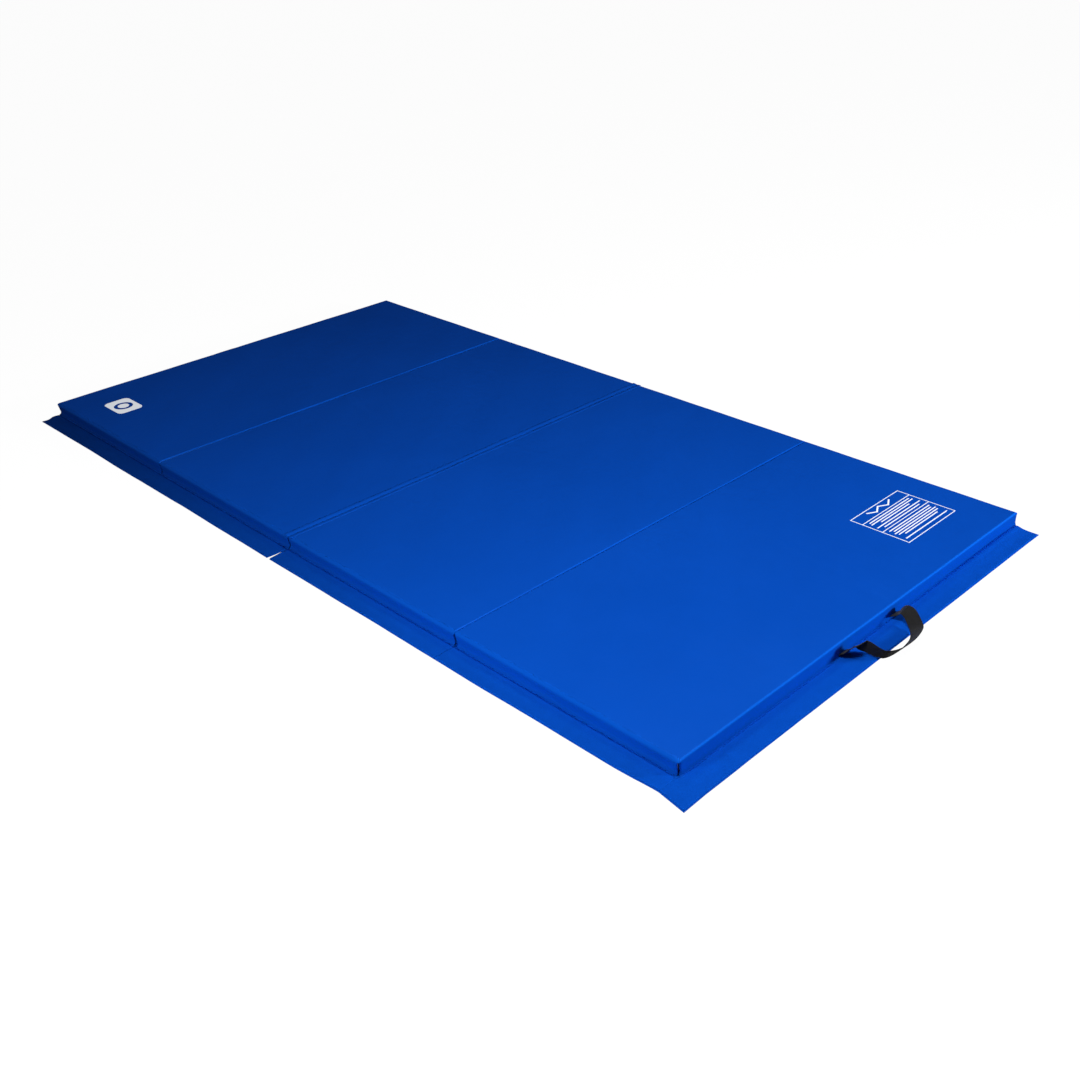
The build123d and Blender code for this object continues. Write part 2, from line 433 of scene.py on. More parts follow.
def thicken(piece, thickness):
    """Gives a sheet its thickness, on the side away from its faces."""
    layer = piece.modifiers.new("thickness", "SOLIDIFY")
    layer.thickness = thickness
    layer.offset = -1.0

# %% [markdown]
# ## Three curves
# Soft things are sums of a few curves: `bell` is a hump, `ease` a smooth step, and `drift` a slow
# wander. The wander is seeded, so that every run gives the same mat.

# %% Bell, ease and drift
def bell(x, width):
    """A smooth hump of height 1: exp of minus the square of x over the width."""
    return np.exp(-(x / width) ** 2)


def ease(x):
    """From 0 to 1 as x goes from 0 to 1, level at both ends: 3x^2 - 2x^3."""
    x = np.clip(x, 0.0, 1.0)
    return x * x * (3 - 2 * x)


def drift(x, seed, waves, longest, shortest):
    """A slow seeded wander along a line: cosines of random length and phase, within about 1."""
    rng = np.random.default_rng(seed)
    lengths = np.exp(rng.uniform(np.log(shortest), np.log(longest), waves))
    phases = rng.uniform(0, 2 * np.pi, waves)
    weights = (lengths / longest) ** 0.5
    total = sum(w * np.cos(2 * np.pi * x / a + p) for w, a, p in zip(weights, lengths, phases))
    return total / weights.sum()


print("at a quarter: bell", round(bell(0.25, 1), 3), "ease", round(ease(0.25), 3))

# %% [markdown]
# ## The lie of the top
# Foam that has been folded and trodden isn't a perfect plane. Its top rises and falls by about
# half a millimetre, and the vinyl gathers into short creases that run out from a fold, across
# it. They show only as faint streaks. Under the printed marks the sheet is kept flat.

# %% Creases
CREASE_SETS = (
    # panel, side that they start from, how many, and their range along Y as shares of the width
    (1, "left", 9, (0.35, 0.80)),
    (2, "left", 15, (0.25, 0.95)),
    (2, "right", 6, (0.30, 0.90)),
    (3, "left", 6, (0.20, 0.80)),
    (4, "left", 14, (0.30, 0.92)),
    (4, "right", 5, (0.30, 0.80)),
)
CREASE_START = 4 * MM                   # how far from its fold a crease starts
CREASE_FADE_IN = 30 * MM                # and how much further on it is full


def one_crease(rng, out, across):
    """A crease: a bell across its slanting line with a dip beside it, fading as exp along it."""
    angle = math.radians(rng.uniform(-16, 16))
    length = rng.uniform(0.06, 0.24)
    width = rng.uniform(0.006, 0.013)
    tall = rng.uniform(0.40, 1.10) * MM
    aside = across - out * math.tan(angle)
    shape = bell(aside, width) - 0.55 * bell(aside - 1.7 * width, width * 1.2)
    return tall * shape * np.exp(-out / length) * ease((out - CREASE_START) / CREASE_FADE_IN)


def crease_field(panel, x, y):
    """The sum of a panel's creases, in metres."""
    height = np.zeros(np.broadcast(x, y).shape)
    for number, (owner, side, count, (low, high)) in enumerate(CREASE_SETS):
        if owner == panel:
            rng = np.random.default_rng(40 + number)
            out = x - LEFT[panel] if side == "left" else RIGHT[panel] - x
            for share in np.sort(rng.uniform(low, high, count)):
                height = height + one_crease(rng, out, y - FRONT - share * (BACK - FRONT))
    return height

# %% The top face and the valley at fold 2
PRINTS = {1: "printed_badge", 4: "printed_care_panel"}
FLAT_MARGIN = 60 * MM                   # how far round a print the sheet is kept flat
HIGHEST = 0.15 * MM
WEB_REACH = 15 * MM                     # half the width of the web over fold 2
SEAT = 0.6 * MM                         # how far the covers sink under that web
VALLEY_DEPTH = 1.9 * MM
VALLEY_WIDTH = 4.5 * MM


def near_print(x, y, node, margin):
    """1 on a printed mark and near it, falling to 0 over the margin."""
    (x0, x1), (y0, y1) = span(node, 0), span(node, 1)
    away_x = np.maximum(np.maximum(x0 - x, x - x1), 0)
    away_y = np.maximum(np.maximum(y0 - y, y - y1), 0)
    return 1 - ease(np.hypot(away_x, away_y) / margin)


def valley(y, away):
    """How deep the top sheet dips at fold 2: exp of minus the distance over its width."""
    depth = VALLEY_DEPTH * (1 + 0.2 * drift(y, 9, 5, 0.5, 0.1))
    return depth * (np.exp(-away / VALLEY_WIDTH) - math.exp(-WEB_REACH / VALLEY_WIDTH))


def seat(x, y):
    """How far the covers sink under the web that joins them at fold 2."""
    away = np.abs(x - FOLD[2])
    inside = np.clip((WEB_REACH - away) / (1.0 * MM), 0, 1)
    return inside * (SEAT + valley(y, np.minimum(away, WEB_REACH)))


def top_height(panel, x, y):
    """The height of a panel's top face: slow cosine waves and creases, 0.45 mm under the CAD's."""
    waves = 0.35 * MM * np.cos(2 * np.pi * (x / 0.47 + panel * 0.3)) * np.cos(2 * np.pi * (y / 0.61 + 0.2))
    waves += 0.18 * MM * np.cos(2 * np.pi * (x / 0.19 + y / 0.26 + panel))
    shape = waves - 0.45 * MM + crease_field(panel, x, y)
    if panel in PRINTS:
        shape = shape * (1 - near_print(x, y, PRINTS[panel], FLAT_MARGIN))
    return TOP + np.minimum(shape, HIGHEST)


for n in NUMBERS:
    line = top_height(n, np.linspace(LEFT[n], RIGHT[n], 200), MIDDLE_Y)
    print("panel", n, "dips by up to", round(float(TOP - line.min()) / MM, 2), "mm along its middle")

# %% [markdown]
# ## The covers
# Each panel's cover is one closed pillow. Its top and bottom are grids on the same lines, and its
# side is a ring of columns, one under each point of the grid's rim. Going down the ring, every
# column first rolls over the edge in a quarter circle and then hangs as the wall. A column at a
# corner moves out along both axes at once, which gives mitred corners with no gap.
#
# The cover is pulled in below its top edge, so each wall leans, and the long walls are slack and
# buckle in slanting waves. In front and at the near end the wall turns out again at its foot,
# where the flap is sewn on: a wall that met the flap squarely would show as a hard black line.

# %% Grid lines and the wall's section
CORNER_STEPS = np.cumsum([0.35, 0.35, 0.4, 0.5, 0.7, 1.0, 1.4, 1.9, 1.4, 1.0, 1.0, 1.5, 2.5, 4.0]) * MM
BOTTOM = 0.5 * MM                       # the covers stand on their hook strips and webs
WALL_STEPS = 1 - np.concatenate([
    [0.0, 0.003, 0.010, 0.022, 0.040, 0.065, 0.095, 0.13, 0.17, 0.215],
    np.linspace(0.26, 0.93, 15), [0.965, 0.99, 1.0],
])
BUCKLE_LENGTHS = (0.150, 0.094, 0.061, 0.037)


def grid_lines(low, high, pitch):
    """Lines across a side: close together at both ends, for the corners, and even between."""
    inner_low, inner_high = low + CORNER_STEPS[-1], high - CORNER_STEPS[-1]
    count = max(2, round((inner_high - inner_low) / pitch))
    middle = np.linspace(inner_low, inner_high, count + 1)
    return np.concatenate([[low], low + CORNER_STEPS[:-1], middle, high - CORNER_STEPS[-2::-1], [high]])


def rolled(z, radius):
    """How far out the wall stands from where its roll starts, at height z: a quarter circle."""
    fallen = np.clip((TOP - z) / radius, 0, 1)
    return radius * np.sqrt(np.clip(1 - (1 - fallen) ** 2, 0, 1))


def slanting_buckles(s, z, seed, reach):
    """Buckles of a slack wall: waves along s whose crests slant with height, some patches deeper.

    Each wave is a cosine of s over its length plus z over its slant, sharpened by a power so that
    it has narrow valleys, and the sum is weighed by a slow wander along the wall.
    """
    rng = np.random.default_rng(seed)
    total = np.zeros(np.broadcast(s, z).shape)
    for length in BUCKLE_LENGTHS:
        slant = rng.choice((-1, 1)) * rng.uniform(0.030, 0.070)
        phase = rng.uniform(0, 1)
        wave = 0.5 + 0.5 * np.cos(2 * np.pi * (s / length + z / slant + phase))
        total = total + (1 - wave ** 1.6) * (length / BUCKLE_LENGTHS[0]) ** 0.75
    patches = 0.62 + 0.38 * drift(s, seed + 1, 5, 0.5, 0.15)
    return -reach * total * patches


print("rows down a wall:", len(WALL_STEPS), "lines in a corner:", len(CORNER_STEPS))

# %% The kinds of side
class Side:
    """One side of a panel, in millimetres: the radius of its roll, how far its wall leans in
    (belly), how deep it buckles, and how far its foot turns out (flare). The last two weights are
    for the material: a painted highlight along its top edge, and painted shade at its foot."""

    def __init__(self, radius, belly, buckle, bend=1.5, flare=0.0, edge_wear_and_highlight=0.0, shade=0.0):
        self.radius = radius * MM
        self.belly = belly * MM
        self.buckle = buckle * MM
        self.bend = bend
        self.flare = flare * MM
        self.edge_wear_and_highlight = edge_wear_and_highlight
        self.shade = shade

    def for_foam(self):
        """The same side for the foam, which has no flare and leans in a little more behind one."""
        more = 1.5 if self.flare else 0.0
        return Side(self.radius / MM, self.belly / MM + more, self.buckle / MM, self.bend)

    def out(self, s, z, seed):
        """The wall's place out from the start of its roll, at place s along it and height z.

        It is the roll, less the belly, which grows as a power of the fall, plus the buckles and
        the flare, which grows as the square of the last 30% of the fall.
        """
        fallen = np.clip((TOP - z) / (TOP - BOTTOM), 0, 1)
        under = np.clip((fallen - 0.2) / 0.8, 0, 1) ** self.bend
        belly = self.belly * under * (1 + 0.22 * drift(s, seed, 6, 0.6, 0.12))
        hang = ease((fallen - 0.15) / 0.35) * (1 - 0.6 * ease((fallen - 0.75) / 0.25))
        slack = slanting_buckles(s, z, seed + 10, self.buckle) * hang
        foot = self.flare * np.clip((fallen - 0.70) / 0.30, 0, 1) ** 2
        return rolled(z, self.radius) - belly + slack + foot


# The near end carries a painted highlight along its top edge and painted shade at its foot
NEAR_END = Side(radius=4.0, belly=2.0, buckle=0.22, bend=1.2, flare=2.8, edge_wear_and_highlight=1.0, shade=0.25)
FAR_END = Side(radius=4.0, belly=2.5, buckle=0.45, bend=1.3)
LONG_FRONT = Side(radius=10.0, belly=4.6, buckle=1.00, bend=1.3, flare=6.5)
LONG_BACK = Side(radius=6.0, belly=4.0, buckle=0.80)
CLOSED_FOLD = Side(radius=6.0, belly=-0.3, buckle=0.0)
CRACKED_FOLD = Side(radius=4.0, belly=0.8, buckle=0.0, bend=0.5)
SEWN_FOLD = Side(radius=5.0, belly=-0.2, buckle=0.0)
for name, side in (("near end", NEAR_END), ("far end", FAR_END), ("front", LONG_FRONT), ("back", LONG_BACK)):
    foot = side.out(0, BOTTOM, seed=1) - side.radius
    print("the foot of the", name, "wall lies", round(float(foot) / MM, 1), "mm out from the roll's edge")

# %% [markdown]
# ## The upright seams
# Where two walls meet, the cover has an upright seam. Its thread draws the corner in, from just
# below the roll down to the floor, and the groove it makes is painted dark as shade. A bell in the
# distance from the corner gives the groove, and a narrower bell marks its painted shade for the material.

# %% Seams at a pillow's corners
CORNERS = ((-1, -1), (1, -1), (1, 1), (-1, 1))
FULL_SEAM = 2.6                         # mm: a seam this deep gets the full painted shade
FOOT_SPREAD = 60 * MM                   # how far along the walls a corner's foot is pulled


def upright_seams(x, y, fallen, tucks):
    """How far the seams draw each column in, along X and Y, and how much painted shade they give it.

    tucks gives each corner, in the order left front, right front, right back, left back, the
    depth, width and foot of its seam in millimetres. The depth is weighed by a bell in the
    distance from the corner, and the foot by a wider bell that grows with the fall.
    """
    draws = np.zeros((2,) + np.broadcast(fallen, x).shape)
    dark = 0 * fallen * x
    below_roll = ease((fallen - 0.14) / 0.12)
    for (side_x, side_y), (depth, width, foot) in zip(CORNERS, tucks):
        corner_x = x.min() if side_x < 0 else x.max()
        corner_y = y.min() if side_y < 0 else y.max()
        away = np.abs(x - corner_x) + np.abs(y - corner_y)
        draw = depth * MM * bell(away, width * MM) * below_roll + foot * MM * bell(away, FOOT_SPREAD) * fallen
        draws += np.array([side_x, side_y])[:, None, None] * draw
        # Painted shade in the seam's groove, darker for a deeper seam
        mark = bell(away, 0.75 * width * MM) * below_roll * min(1, depth / FULL_SEAM)
        dark = np.maximum(dark, mark)
    return draws, dark


PLAIN_TUCK = (1.2, 2.2, 0.0)
DEEP_TUCK = (2.6, 1.5, 0.0)
TUCKS = {
    1: ((1.5, 2.5, 0.5), PLAIN_TUCK, PLAIN_TUCK, (1.2, 2.5, 3.0)),
    2: (PLAIN_TUCK, DEEP_TUCK, DEEP_TUCK, PLAIN_TUCK),
    3: (DEEP_TUCK, DEEP_TUCK, DEEP_TUCK, DEEP_TUCK),
    4: (DEEP_TUCK, (4.6, 1.9, 0.0), (0.8, 2.0, -2.5), DEEP_TUCK),
}
print("deepest seam:", max(depth for four in TUCKS.values() for depth, width, foot in four), "mm")

# %% [markdown]
# ## The pillow
# The points come first: the top's grid, the rings of columns, and the floor's grid. Then the quads
# join one layer to the next, all round. The foam is the same pillow made a little smaller, so it
# can't come through its cover.

# %% Quads of a pillow
def rim_loop(nx, ny):
    """The numbers of a grid's rim points, once round from the low corner, with x running first."""
    front = [(i, 0) for i in range(nx)]
    right = [(nx - 1, j) for j in range(1, ny)]
    back = [(i, ny - 1) for i in range(nx - 2, -1, -1)]
    left = [(0, j) for j in range(ny - 2, 0, -1)]
    return np.array(front + right + back + left)


def pillow_quads(nx, ny, rows):
    """The top's quads, those between one ring and the next, and the floor side's, turned over."""
    rim = rim_loop(nx, ny) @ (ny, 1)
    first_ring = nx * ny
    first_under = first_ring + rows * len(rim)
    rings = np.arange(first_ring, first_under).reshape(rows, len(rim))
    layers = [rim, *rings, first_under + rim]
    walls = [
        np.stack([upper, np.roll(upper, -1), np.roll(lower, -1), lower], axis=1)[:, ::-1]
        for upper, lower in zip(layers, layers[1:])
    ]
    return np.concatenate([grid_faces(nx, ny), *walls, grid_faces(nx, ny, first_under)[:, ::-1]])


print("quads of a small pillow:", len(pillow_quads(4, 5, 3)))

# %% The pillow's points and marks
FOLLOW = 18 * MM                        # how far from a corner a column still follows both sides
SETTLE = 0.25                           # the share of the fall over which the top's waves die out


def follow(distance):
    """How much a column follows a side: the square of 1 less its distance over 18 mm, down to 0."""
    return np.clip(1 - distance / FOLLOW, 0, 1) ** 2


def pillow(panel, sides, pitch, tucks, shrink=0.0):
    """Points, quads and marks of a panel's closed cover, or of the foam inside it if it shrinks.

    sides has the left, right, front and back Side. A column's place is its rim point, pushed out
    by each side's section as much as it follows that side, less what its seam draws in.
    """
    left, right, front, back = sides
    xs = grid_lines(LEFT[panel] + left.radius, RIGHT[panel] - right.radius, pitch)
    ys = grid_lines(FRONT + front.radius, BACK - back.radius, pitch)
    grid_x, grid_y = np.meshgrid(xs, ys, indexing="ij")
    sunk = seat(grid_x, grid_y) if panel in (2, 3) else 0 * grid_x
    top = np.stack([grid_x, grid_y, top_height(panel, grid_x, grid_y) - sunk - shrink], axis=-1)
    x, y, edge_z = top[tuple(rim_loop(len(xs), len(ys)).T)].T

    z = BOTTOM + (TOP - BOTTOM) * WALL_STEPS[1:, None]
    fallen = (TOP - z) / (TOP - BOTTOM)
    to_right = follow(xs[-1] - x)
    seeds = 100 * panel
    (draw_x, draw_y), painted_shade = upright_seams(x, y, fallen, tucks)
    push_x = to_right * right.out(y, z, seeds + 1) - follow(x - xs[0]) * left.out(y, z, seeds + 2)
    push_y = follow(ys[-1] - y) * back.out(x, z, seeds + 3) - follow(y - ys[0]) * front.out(x, z, seeds + 4)
    drop = (edge_z - TOP) * (1 - ease(fallen / SETTLE))
    ring = np.stack([x + push_x - draw_x, y + push_y - draw_y, z + drop], axis=-1)
    if shrink:
        ring[..., 0] += np.sign(xs.mean() - x) * np.isin(x, xs[[0, -1]]) * shrink
        ring[..., 1] += np.sign(ys.mean() - y) * np.isin(y, ys[[0, -1]]) * shrink
        ring[..., 2] = np.clip(ring[..., 2], BOTTOM + shrink, TOP - shrink)
    under = np.stack([grid_x, grid_y, np.full_like(grid_x, BOTTOM + shrink)], axis=-1)
    points = np.concatenate([layer.reshape(-1, 3) for layer in (top, ring, under)])

    # A pale line along the top edges, partly wear and partly a painted highlight, then painted shade at the
    # near end's foot
    edge_wear_and_highlight = 0.2 * bell(fallen - 0.08, 0.10) + right.edge_wear_and_highlight * to_right * bell(fallen - 0.045, 0.05)
    shade = right.shade * to_right * bell(fallen - 0.97, 0.17)
    marks = np.zeros((2, len(points)))
    marks[:, grid_x.size:-grid_x.size] = [edge_wear_and_highlight.ravel(), np.maximum(painted_shade, shade).ravel()]
    return points, pillow_quads(len(xs), len(ys), len(ring)), marks

# %% Covers and foam for the four panels
COVER_PITCH = 7.5 * MM
FOAM_PITCH = 30 * MM
FOAM_SHRINK = 1.6 * MM
SIDES = {
    1: (FAR_END, CLOSED_FOLD, LONG_FRONT, LONG_BACK),
    2: (CLOSED_FOLD, SEWN_FOLD, LONG_FRONT, LONG_BACK),
    3: (SEWN_FOLD, CRACKED_FOLD, LONG_FRONT, LONG_BACK),
    4: (CRACKED_FOLD, NEAR_END, LONG_FRONT, LONG_BACK),
}
END_WALLS = {1: ("far_end", "right"), 2: ("left", "right"), 3: ("left", "right"), 4: ("left", "near_end")}

for n in NUMBERS:
    points, quads, (wear_and_highlight, painted_shade) = pillow(n, SIDES[n], COVER_PITCH, TUCKS[n])
    cover = mesh_piece(f"panel_{n}_cover", points, quads, COVER_VINYL, f"panel_{n}")
    face_out(cover)
    add_attribute(cover, "wear_and_highlight", wear_and_highlight)
    add_attribute(cover, "painted_shade", painted_shade)
    walls = [f"panel_{n}_{side}_wall" for side in ("front", "back") + END_WALLS[n]]
    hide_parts(f"panel_{n}_top_sheet", f"panel_{n}_bottom_sheet", *walls)

    foam_sides = [side.for_foam() for side in SIDES[n]]
    points, quads, unread = pillow(n, foam_sides, FOAM_PITCH, TUCKS[n], shrink=FOAM_SHRINK)
    foam = mesh_piece(f"panel_{n}_foam", points, quads, FOAM, f"panel_{n}")
    face_out(foam)
    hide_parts(f"panel_{n}_foam_core")

# %% [markdown]
# ## The fold webs
# At each fold the cover's sheet runs on from panel to panel: on top at fold 2, and on the floor
# at folds 1 and 3. The web is that stretch, 30 mm wide. On top it dips into a shallow valley over
# the gap between the foam blocks.

# %% Webs
BEND = 2.0 * MM                         # how far each side of a fold a web's bend would reach; only start and end use it, and nothing reads them
WEB_OFFSETS = np.array([0, 0.4, 0.8, 1.3, 2, 3, 4.5, 6.5, 9, 12, 15]) * MM   # of a web's lines


def web(number, low_panel, high_panel, on_top):
    """A strip across a fold: a grid with a narrow valley, as exp of minus the distance from it."""
    node = f"fold_{number}_web"
    (x0, x1), (y0, y1) = span(node, 0), span(node, 1)
    xs = FOLD[number] + np.concatenate([-WEB_OFFSETS[:0:-1], WEB_OFFSETS])
    x, y = np.meshgrid(xs, np.linspace(y0, y1, 200), indexing="ij")
    if on_top:
        left = top_height(low_panel, x, y)
        right = top_height(high_panel, x, y)
        share = ease((x - x0) / (x1 - x0))
        z = left * (1 - share) + right * share - valley(y, np.abs(x - FOLD[number]))
    else:
        z = np.full_like(x, 0.55 * MM) + 0.15 * MM * drift(y, 5, 5, 0.3, 0.06)
    points = np.stack([x, y, z], axis=-1).reshape(-1, 3)
    piece = mesh_piece(node.replace("web", "cover_web"), points, grid_faces(*x.shape), COVER_VINYL)
    thicken(piece, 0.5 * MM if on_top else 0.45 * MM)
    start = (FOLD[number] - BEND, MIDDLE_Y, TOP if on_top else 0)
    end = (FOLD[number] + BEND, MIDDLE_Y, TOP if on_top else 0)
    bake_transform(piece)
    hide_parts(node)


web(1, 1, 2, on_top=False)
web(2, 2, 3, on_top=True)
web(3, 3, 4, on_top=False)

# %% [markdown]
# ## The floor and the light
# A plain pale floor that glows, so that it stays even. One lamp hangs over the near panel, so that
# the blue deepens towards the far end. A low one in front lights the long wall, and one far beyond
# the right-hand corner lights the end wall. The two low ones give no glints, only soft light.

# %% Floor
FLOOR_GLOW = 0.96
FLOOR_REACH = 60.0
FLOOR_LEVEL = -0.5 * MM


def pale_floor():
    recipe = Recipe("floor")
    speck = recipe.noise(recipe.place(), 3.0)
    base = recipe.blend(colour(0.10, 0.10, 0.10), colour(0.11, 0.11, 0.11), speck)
    return recipe.finish(Base_Color=base, Roughness=1.0, Specular_IOR_Level=0.0,
                         Emission_Color=colour(1, 1, 1), Emission_Strength=FLOOR_GLOW)


floor_points = np.array([(-1, -1, 0), (1, -1, 0), (1, 1, 0), (-1, 1, 0)]) * FLOOR_REACH
floor_points[:, 2] = FLOOR_LEVEL
floor = mesh_piece("floor", floor_points, np.array([[0, 1, 2, 3]]), pale_floor(), smooth=False)
floor.visible_diffuse = False
floor.visible_glossy = False

# %% Lamps
def lamp(name, watts, east, north, up, radius, glints=True):
    """A soft round lamp at a place measured from the middle of the mat, on the floor."""
    data = bpy.data.lights.new(name, "POINT")
    data.energy = watts
    data.shadow_soft_size = radius
    piece = bpy.data.objects.new(name, data)
    piece.location = (MIDDLE_X + east, MIDDLE_Y + north, up)
    piece.visible_camera = False
    piece.visible_glossy = glints
    bpy.context.scene.collection.objects.link(piece)
    print("lamp", name, watts, "W", round(math.hypot(east, north, up), 2), "m away")


lamp("over the near panel", 96, 1.18, -0.25, 1.96, 0.30)
lamp("in front of the near corner", 36, 0.83, -1.68, 0.40, 0.15, glints=False)
lamp("beyond the right corner", 600, 3.85, 2.50, 0.85, 0.30, glints=False)

# %% [markdown]
# ## The world
# One world can look different to different rays. The camera sees it white, like the floor. Soft
# light comes from a dim one, so that shadows stay deep, and to mirrors it is nearly black.

# %% World
SKY_LIGHT = 0.085
SKY_MIRRORED = 0.006
world = bpy.data.worlds.new("studio")
world.use_nodes = True
bpy.context.scene.world = world
sky = world.node_tree
ray = sky.nodes.new("ShaderNodeLightPath")
dim = sky.nodes["Background"]
dim.inputs["Color"].default_value = colour(1, 1, 1)
strength = sky.nodes.new("ShaderNodeMath")
strength.operation = "MULTIPLY_ADD"
strength.inputs[1].default_value = SKY_LIGHT
strength.inputs[2].default_value = SKY_MIRRORED
sky.links.new(ray.outputs["Is Diffuse Ray"], strength.inputs[0])
sky.links.new(strength.outputs[0], dim.inputs["Strength"])
bright = sky.nodes.new("ShaderNodeBackground")
bright.inputs["Color"].default_value = colour(1, 1, 1)
bright.inputs["Strength"].default_value = 1.0
either = sky.nodes.new("ShaderNodeMixShader")
sky.links.new(ray.outputs["Is Camera Ray"], either.inputs[0])
sky.links.new(dim.outputs[0], either.inputs[1])
sky.links.new(bright.outputs[0], either.inputs[2])
sky.links.new(either.outputs[0], sky.nodes["World Output"].inputs["Surface"])
bpy.context.scene.view_settings.view_transform = "Standard"
print("the world lights the mat with", SKY_LIGHT + SKY_MIRRORED)

# %% [markdown]
# ## The flaps
# A flap is a vinyl strip sewn to the foot of the wall, with loop tape on its upper face. It isn't
# flat: it turns up in a small lip where the seam presses it to the wall, rises in a long low
# ridge, and lies down again at its outer edge, which wanders by a few millimetres. The tape is
# a second sheet on the same surface, a little narrower, so the strip shows as a thin border.
#
# Both flaps read one height, `flap_height`, so they meet at the corner without a step.

# %% The widths of the flaps
FLAP_OUT = FRONT - span("front_flap_1", 1)[0]
END_OUT = span("end_flap", 0)[1] - RIGHT[4]
CORNER_WIDTH = 52.0 * MM                # the front flap's width at the corner


def front_width(x):
    """The front flap's width at x: its CAD width with a slow wander, and narrower at the corner."""
    wide = FLAP_OUT + 2.0 * MM * drift(x, 21, 5, 0.9, 0.22) + 1.5 * MM * bell(x - LEFT[1] - 0.15, 0.12)
    return wide + (CORNER_WIDTH - wide) * bell(x - RIGHT[4], 0.07)


def end_width(y):
    """The end flap's width at y: its CAD width with a slow wander."""
    return END_OUT + 1.8 * MM * drift(y, 23, 5, 0.8, 0.18)


widths = (front_width(MIDDLE_X), end_width(MIDDLE_Y))
print("the flaps at mid-length are", [round(float(width) / MM, 1) for width in widths], "mm wide")

# %% The height of a flap
LIP_HEIGHT = 0.5 * MM
LYING = 0.45 * MM                       # a flap's height where it lies flat
RIDGE_PLACE = 24 * MM
RIDGE_WIDTH = 10 * MM
ROLL_PLACE = 10 * MM
ROLL_HEIGHT = 4.2 * MM


def flap_rise(s, q, seed, lip_place, lip_width):
    """A flap's height at place s along it and q out from the wall.

    The lip is a bell by the wall, narrow in front and wide at the near end.
    Behind its crest the sheet stays up, so the groove by the wall is shallow. The ridge is a bell
    24 mm out whose height wanders along the flap, and the outer edge flutters a little.
    """
    out = q - lip_place
    behind = ease((q + 5 * MM) / (2 * MM)) * (0.55 + 0.45 * bell(out, 1.3 * MM))
    crest = np.where(out > 0, bell(out, lip_width), behind)
    lip = LIP_HEIGHT * crest * (1 + 0.25 * drift(s, seed, 6, 0.3, 0.03))
    ridge = 2.0 * MM * bell(q - RIDGE_PLACE - 3 * MM * drift(s, seed + 1, 3, 0.7, 0.3), RIDGE_WIDTH)
    ridge = ridge * (0.55 + 0.45 * drift(s, seed + 2, 5, 0.6, 0.15))
    flutter = 0.7 * MM * np.clip(drift(s, seed + 3, 7, 0.35, 0.07), 0, 1) * ease(q / (50 * MM))
    return LYING + LYING * ease((q + 4 * MM) / (4 * MM)) + lip + ridge + flutter


def handle_roll(out, y):
    """The low roll beside the end wall past the handle: a bell 10 mm out that grows along Y."""
    far = out - ROLL_PLACE
    behind = 0.72 + 0.28 * bell(far, 6 * MM)
    shape = np.where(far > 0, bell(far, 9 * MM), behind) * ease(out / (1.5 * MM) + 1)
    return ROLL_HEIGHT * ease((y - MIDDLE_Y - 0.14) / 0.40) * shape


def flap_height(x, y):
    """The height of the whole flap, which turns the corner: one rise in front, one at the end.

    In the corner square both rises are taken at the distance from the wall's corner, and mixed
    by the angle round it.
    """
    out_x, out_y = x - RIGHT[4], FRONT - y
    round_corner = np.hypot(np.maximum(out_x, 0), np.maximum(out_y, 0))
    turn = np.arctan2(np.maximum(out_x, 0), np.maximum(out_y, 1e-9)) / (np.pi / 2)
    q = np.where(out_x <= 0, out_y, np.where(out_y <= 0, out_x, round_corner))
    in_front = flap_rise(np.minimum(x, RIGHT[4]), q, 31, 1.4 * MM, 2.0 * MM)
    at_end = flap_rise(np.maximum(y, FRONT), q, 51, 0.0, 4.0 * MM)
    return in_front * (1 - turn) + (at_end + handle_roll(out_x, y)) * turn


ridge = flap_height(np.float64(FOLD[1] - 0.3), FRONT - RIDGE_PLACE)
print("the ridge in front of panel 1 stands", round(float(ridge) / MM, 2), "mm high")

# %% Laying a sheet
TAPE_START = 3.2 * MM                   # from the wall to the loop tape
TAPE_INSET = 2.2 * MM                   # from the flap's outer edge to the loop tape
TAPE_HEIGHT = 1.2 * MM
ACROSS = np.linspace(0, 1, 28)[None, :] ** 1.35     # closer together near the wall
LAYERS = (
    # name, inset, height over the flap, thickness, material and slot
    ("flap", 0.0, 0.0, 0.8 * MM, FLAP_VINYL, "flap_vinyl"),
    ("flap_loop_tape", TAPE_INSET, TAPE_HEIGHT, 1.2 * MM, LOOP_TAPE, "loop_tape"),
)


def tape_height(q, height):
    """How far the loop tape stands over the flap: almost none at its inner edge, all 3 mm on."""
    return height * ease((q - TAPE_START) / (3.0 * MM)) + min(height, 0.12 * MM)


def set_back(distance, inset):
    """How far a layer is set back from an end of its flap: its inset there, and none 4 mm on."""
    return inset * np.clip(1 - distance / (4 * MM), 0, 1)


def face_up(piece):
    """Turns an open sheet over if most of it faces down."""
    shape = bmesh.new()
    shape.from_mesh(piece.data)
    if sum(face.normal.z * face.calc_area() for face in shape.faces) < 0:
        bmesh.ops.reverse_faces(shape, faces=shape.faces)
    shape.to_mesh(piece.data)
    shape.free()


def lay_sheet(name, x, y, q, height, material, body, thickness, node, flat):
    """A layer of a flap: a grid at the flap's height, or over it by what the tape stands up."""
    points = np.stack([x, y, flap_height(x, y) + tape_height(q, height)], axis=-1)
    piece = mesh_piece(name, points.reshape(-1, 3), grid_faces(*x.shape), material, body)
    face_up(piece)
    thicken(piece, thickness)
    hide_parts(node)
    return piece

# %% [markdown]
# ## The front flap
# It is one strip in four stretches, slit at fold 2, where its edges draw back in a notch. Its inner
# edge is tucked under the cover, so no floor shows between them. At the far end the strip stops
# short of the mat in a slow S. Along the lip by the wall's foot the vinyl is paler: partly wear,
# partly a painted highlight on the lip.

